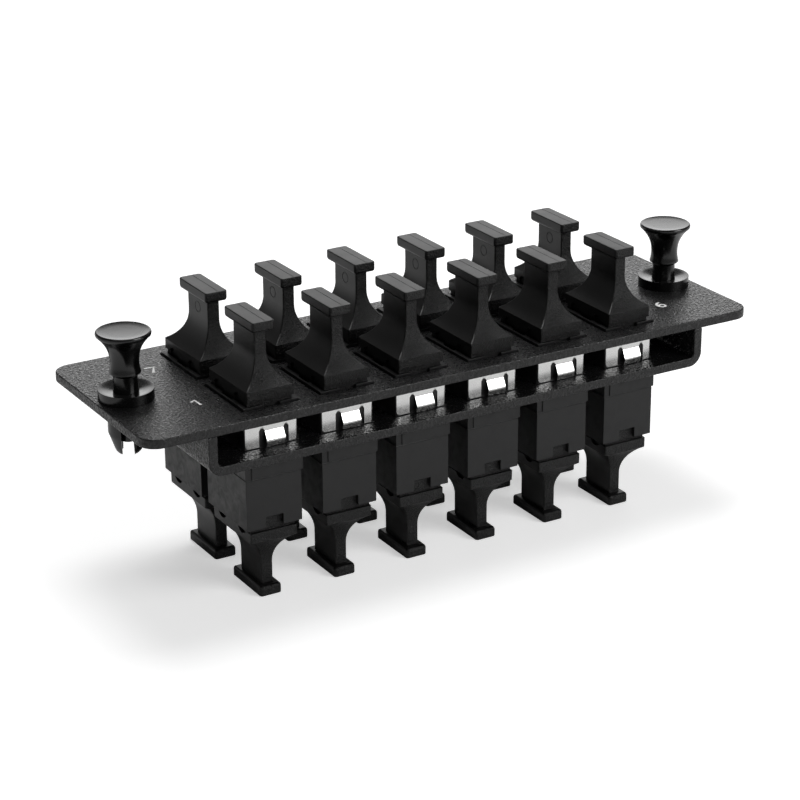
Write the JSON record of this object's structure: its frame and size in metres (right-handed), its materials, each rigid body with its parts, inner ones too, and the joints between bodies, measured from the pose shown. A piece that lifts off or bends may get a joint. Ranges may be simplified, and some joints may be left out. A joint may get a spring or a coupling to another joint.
{
  "type": "mpo fibre adapter panel",
  "caption": "Black metal fibre adapter panel with rows of clipped-in multi-fibre adapters, T-grip dust caps on both sides and push-pull fasteners at its ends.",
  "frame": {"origin": "centre of the footprint, on the surface that the rear dust caps stand on", "axes": "+Z out of the panel face, +X along the panel with port 1 at -X, ports 1 to 6 in the row at -Y"},
  "size_m": [0.109, 0.035, 0.0446],
  "materials": {
    "coat": "fine-grained black powder coat",
    "adapter_plastic": "black moulded plastic, satin",
    "latch_plastic": "black moulded plastic",
    "clip_steel": "bright rolled stainless strip",
    "cap_plastic": "black moulded plastic, smooth satin",
    "fastener_nylon": "black nylon, glossy"
  },
  "bodies": {
    "panel": {"faceplate": "coat", "channel": "coat", "adapter_1": "adapter_plastic", "adapter_2": "adapter_plastic", "adapter_3": "adapter_plastic", "adapter_4": "adapter_plastic", "adapter_5": "adapter_plastic", "adapter_6": "adapter_plastic", "adapter_7": "adapter_plastic", "adapter_8": "adapter_plastic", "adapter_9": "adapter_plastic", "adapter_10": "adapter_plastic", "adapter_11": "adapter_plastic", "adapter_12": "adapter_plastic", "clip_1": "clip_steel", "clip_2": "clip_steel", "clip_3": "clip_steel", "clip_4": "clip_steel", "clip_5": "clip_steel", "clip_6": "clip_steel", "clip_7": "clip_steel", "clip_8": "clip_steel", "clip_9": "clip_steel", "clip_10": "clip_steel", "clip_11": "clip_steel", "clip_12": "clip_steel", "latch_bodies_1": "latch_plastic", "latch_bodies_2": "latch_plastic", "latch_bodies_3": "latch_plastic", "latch_bodies_4": "latch_plastic", "latch_bodies_5": "latch_plastic", "latch_bodies_6": "latch_plastic", "grommet_left": "fastener_nylon", "grommet_right": "fastener_nylon"},
    "front_cap_1": {"front_cap_1": "cap_plastic"},
    "front_cap_2": {"front_cap_2": "cap_plastic"},
    "front_cap_3": {"front_cap_3": "cap_plastic"},
    "front_cap_4": {"front_cap_4": "cap_plastic"},
    "front_cap_5": {"front_cap_5": "cap_plastic"},
    "front_cap_6": {"front_cap_6": "cap_plastic"},
    "front_cap_7": {"front_cap_7": "cap_plastic"},
    "front_cap_8": {"front_cap_8": "cap_plastic"},
    "front_cap_9": {"front_cap_9": "cap_plastic"},
    "front_cap_10": {"front_cap_10": "cap_plastic"},
    "front_cap_11": {"front_cap_11": "cap_plastic"},
    "front_cap_12": {"front_cap_12": "cap_plastic"},
    "rear_cap_1": {"rear_cap_1": "cap_plastic"},
    "rear_cap_2": {"rear_cap_2": "cap_plastic"},
    "rear_cap_3": {"rear_cap_3": "cap_plastic"},
    "rear_cap_4": {"rear_cap_4": "cap_plastic"},
    "rear_cap_5": {"rear_cap_5": "cap_plastic"},
    "rear_cap_6": {"rear_cap_6": "cap_plastic"},
    "rear_cap_7": {"rear_cap_7": "cap_plastic"},
    "rear_cap_8": {"rear_cap_8": "cap_plastic"},
    "rear_cap_9": {"rear_cap_9": "cap_plastic"},
    "rear_cap_10": {"rear_cap_10": "cap_plastic"},
    "rear_cap_11": {"rear_cap_11": "cap_plastic"},
    "rear_cap_12": {"rear_cap_12": "cap_plastic"},
    "plunger_left": {"plunger_left": "fastener_nylon"},
    "plunger_right": {"plunger_right": "fastener_nylon"}
  },
  "joints": [
    {"name": "front_cap_1_pull", "type": "slide", "parent": "panel", "child": "front_cap_1", "axis": [0, 0, 1], "range_m": [0, 0.012]},
    {"name": "front_cap_2_pull", "type": "slide", "parent": "panel", "child": "front_cap_2", "axis": [0, 0, 1], "range_m": [0, 0.012]},
    {"name": "front_cap_3_pull", "type": "slide", "parent": "panel", "child": "front_cap_3", "axis": [0, 0, 1], "range_m": [0, 0.012]},
    {"name": "front_cap_4_pull", "type": "slide", "parent": "panel", "child": "front_cap_4", "axis": [0, 0, 1], "range_m": [0, 0.012]},
    {"name": "front_cap_5_pull", "type": "slide", "parent": "panel", "child": "front_cap_5", "axis": [0, 0, 1], "range_m": [0, 0.012]},
    {"name": "front_cap_6_pull", "type": "slide", "parent": "panel", "child": "front_cap_6", "axis": [0, 0, 1], "range_m": [0, 0.012]},
    {"name": "front_cap_7_pull", "type": "slide", "parent": "panel", "child": "front_cap_7", "axis": [0, 0, 1], "range_m": [0, 0.012]},
    {"name": "front_cap_8_pull", "type": "slide", "parent": "panel", "child": "front_cap_8", "axis": [0, 0, 1], "range_m": [0, 0.012]},
    {"name": "front_cap_9_pull", "type": "slide", "parent": "panel", "child": "front_cap_9", "axis": [0, 0, 1], "range_m": [0, 0.012]},
    {"name": "front_cap_10_pull", "type": "slide", "parent": "panel", "child": "front_cap_10", "axis": [0, 0, 1], "range_m": [0, 0.012]},
    {"name": "front_cap_11_pull", "type": "slide", "parent": "panel", "child": "front_cap_11", "axis": [0, 0, 1], "range_m": [0, 0.012]},
    {"name": "front_cap_12_pull", "type": "slide", "parent": "panel", "child": "front_cap_12", "axis": [0, 0, 1], "range_m": [0, 0.012]},
    {"name": "rear_cap_1_pull", "type": "slide", "parent": "panel", "child": "rear_cap_1", "axis": [0, 0, -1], "range_m": [0, 0.012]},
    {"name": "rear_cap_2_pull", "type": "slide", "parent": "panel", "child": "rear_cap_2", "axis": [0, 0, -1], "range_m": [0, 0.012]},
    {"name": "rear_cap_3_pull", "type": "slide", "parent": "panel", "child": "rear_cap_3", "axis": [0, 0, -1], "range_m": [0, 0.012]},
    {"name": "rear_cap_4_pull", "type": "slide", "parent": "panel", "child": "rear_cap_4", "axis": [0, 0, -1], "range_m": [0, 0.012]},
    {"name": "rear_cap_5_pull", "type": "slide", "parent": "panel", "child": "rear_cap_5", "axis": [0, 0, -1], "range_m": [0, 0.012]},
    {"name": "rear_cap_6_pull", "type": "slide", "parent": "panel", "child": "rear_cap_6", "axis": [0, 0, -1], "range_m": [0, 0.012]},
    {"name": "rear_cap_7_pull", "type": "slide", "parent": "panel", "child": "rear_cap_7", "axis": [0, 0, -1], "range_m": [0, 0.012]},
    {"name": "rear_cap_8_pull", "type": "slide", "parent": "panel", "child": "rear_cap_8", "axis": [0, 0, -1], "range_m": [0, 0.012]},
    {"name": "rear_cap_9_pull", "type": "slide", "parent": "panel", "child": "rear_cap_9", "axis": [0, 0, -1], "range_m": [0, 0.012]},
    {"name": "rear_cap_10_pull", "type": "slide", "parent": "panel", "child": "rear_cap_10", "axis": [0, 0, -1], "range_m": [0, 0.012]},
    {"name": "rear_cap_11_pull", "type": "slide", "parent": "panel", "child": "rear_cap_11", "axis": [0, 0, -1], "range_m": [0, 0.012]},
    {"name": "rear_cap_12_pull", "type": "slide", "parent": "panel", "child": "rear_cap_12", "axis": [0, 0, -1], "range_m": [0, 0.012]},
    {"name": "plunger_left_push", "type": "slide", "parent": "panel", "child": "plunger_left", "axis": [0, 0, -1], "range_m": [0, 0.0026]},
    {"name": "plunger_right_push", "type": "slide", "parent": "panel", "child": "plunger_right", "axis": [0, 0, -1], "range_m": [0, 0.0026]}
  ]
}
